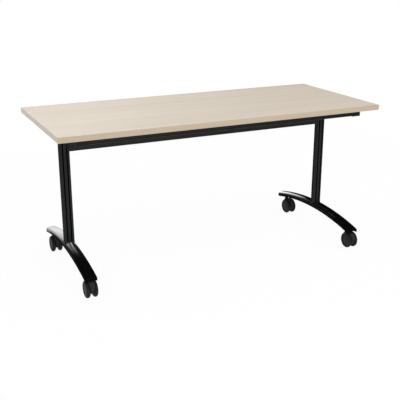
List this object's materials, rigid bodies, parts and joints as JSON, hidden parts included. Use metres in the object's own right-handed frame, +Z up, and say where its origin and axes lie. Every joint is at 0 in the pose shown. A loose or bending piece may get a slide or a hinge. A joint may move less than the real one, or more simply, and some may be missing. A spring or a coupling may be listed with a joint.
{
  "type": "flip top training table",
  "caption": "Folding training table: a pale wood-grain top that flips upright over two T legs with arched feet on twin-wheel swivel casters, released by a bar under the front edge.",
  "frame": {"origin": "on the floor, at the centre of the footprint, under the middle of the top", "axes": "+X along the table's length to its right end, +Y to its back, +Z up"},
  "size_m": [1.6, 0.7075, 0.735],
  "materials": {
    "laminate": "pale wood-grain laminate, satin",
    "edge": "wood-coloured edge band, satin",
    "coated": "satin black powder coat",
    "gloss": "gloss black",
    "plastic": "moulded black",
    "tread": "dark grey, matte",
    "steel": "bright zinc plated",
    "bush": "natural nylon"
  },
  "bodies": {
    "base": {"crossbar": "coated", "column_left": "coated", "foot_left": "gloss", "foot_bolt_left": "steel", "column_head_left": "coated", "pivot_pin_left": "steel", "caster_stem_front_left": "steel", "caster_stem_back_left": "steel", "column_right": "coated", "foot_right": "gloss", "foot_bolt_right": "steel", "column_head_right": "coated", "pivot_pin_right": "steel", "caster_stem_front_right": "steel", "caster_stem_back_right": "steel"},
    "top": {"table_top": "laminate", "edge_band_front": "edge", "edge_band_back": "edge", "edge_band_left": "edge", "edge_band_right": "edge", "arm_left": "coated", "arm_cap_left": "plastic", "hinge_bracket_left": "coated", "pivot_bush_outer_left": "bush", "pivot_bush_inner_left": "bush", "stop_pin_left": "steel", "lock_housing_left": "plastic", "lock_spring_left": "steel", "arm_right": "coated", "arm_cap_right": "plastic", "hinge_bracket_right": "coated", "pivot_bush_outer_right": "bush", "pivot_bush_inner_right": "bush", "stop_pin_right": "steel", "lock_housing_right": "plastic", "lock_spring_right": "steel"},
    "release": {"release_bar": "coated", "lock_bolt_left": "steel", "pull_rod_left": "steel", "bar_end_left": "plastic", "lock_bolt_right": "steel", "pull_rod_right": "steel", "bar_end_right": "plastic"},
    "swivel_front_left": {"caster_hood_front_left": "plastic", "caster_axle_front_left": "steel"},
    "wheel_front_left_outer": {"caster_wheel_front_left_outer": "tread"},
    "wheel_front_left_inner": {"caster_wheel_front_left_inner": "tread"},
    "swivel_back_left": {"caster_hood_back_left": "plastic", "caster_axle_back_left": "steel"},
    "wheel_back_left_outer": {"caster_wheel_back_left_outer": "tread"},
    "wheel_back_left_inner": {"caster_wheel_back_left_inner": "tread"},
    "swivel_front_right": {"caster_hood_front_right": "plastic", "caster_axle_front_right": "steel"},
    "wheel_front_right_outer": {"caster_wheel_front_right_outer": "tread"},
    "wheel_front_right_inner": {"caster_wheel_front_right_inner": "tread"},
    "swivel_back_right": {"caster_hood_back_right": "plastic", "caster_axle_back_right": "steel"},
    "wheel_back_right_outer": {"caster_wheel_back_right_outer": "tread"},
    "wheel_back_right_inner": {"caster_wheel_back_right_inner": "tread"}
  },
  "joints": [
    {"name": "top_flip", "type": "hinge", "parent": "base", "child": "top", "pos_m": [0, 0, 0.6599], "axis": [-1, 0, 0], "range_deg": [0, 90]},
    {"name": "release_slide", "type": "slide", "parent": "top", "child": "release", "axis": [0, 1, 0], "range_m": [0, 0.006]},
    {"name": "swivel_front_left", "type": "hinge", "parent": "base", "child": "swivel_front_left", "pos_m": [-0.691, -0.295, 0.085], "axis": [0, 0, 1], "continuous": true},
    {"name": "swivel_back_left", "type": "hinge", "parent": "base", "child": "swivel_back_left", "pos_m": [-0.691, 0.295, 0.085], "axis": [0, 0, 1], "continuous": true},
    {"name": "swivel_front_right", "type": "hinge", "parent": "base", "child": "swivel_front_right", "pos_m": [0.691, -0.295, 0.085], "axis": [0, 0, 1], "continuous": true},
    {"name": "swivel_back_right", "type": "hinge", "parent": "base", "child": "swivel_back_right", "pos_m": [0.691, 0.295, 0.085], "axis": [0, 0, 1], "continuous": true},
    {"name": "spin_front_left_outer", "type": "hinge", "parent": "swivel_front_left", "child": "wheel_front_left_outer", "pos_m": [-0.691, -0.32, 0.03951], "axis": [1, 0, 0], "continuous": true},
    {"name": "spin_front_left_inner", "type": "hinge", "parent": "swivel_front_left", "child": "wheel_front_left_inner", "pos_m": [-0.691, -0.32, 0.03951], "axis": [1, 0, 0], "continuous": true},
    {"name": "spin_back_left_outer", "type": "hinge", "parent": "swivel_back_left", "child": "wheel_back_left_outer", "pos_m": [-0.691, 0.27, 0.03951], "axis": [1, 0, 0], "continuous": true},
    {"name": "spin_back_left_inner", "type": "hinge", "parent": "swivel_back_left", "child": "wheel_back_left_inner", "pos_m": [-0.691, 0.27, 0.03951], "axis": [1, 0, 0], "continuous": true},
    {"name": "spin_front_right_outer", "type": "hinge", "parent": "swivel_front_right", "child": "wheel_front_right_outer", "pos_m": [0.691, -0.32, 0.03951], "axis": [1, 0, 0], "continuous": true},
    {"name": "spin_front_right_inner", "type": "hinge", "parent": "swivel_front_right", "child": "wheel_front_right_inner", "pos_m": [0.691, -0.32, 0.03951], "axis": [1, 0, 0], "continuous": true},
    {"name": "spin_back_right_outer", "type": "hinge", "parent": "swivel_back_right", "child": "wheel_back_right_outer", "pos_m": [0.691, 0.27, 0.03951], "axis": [1, 0, 0], "continuous": true},
    {"name": "spin_back_right_inner", "type": "hinge", "parent": "swivel_back_right", "child": "wheel_back_right_inner", "pos_m": [0.691, 0.27, 0.03951], "axis": [1, 0, 0], "continuous": true}
  ]
}
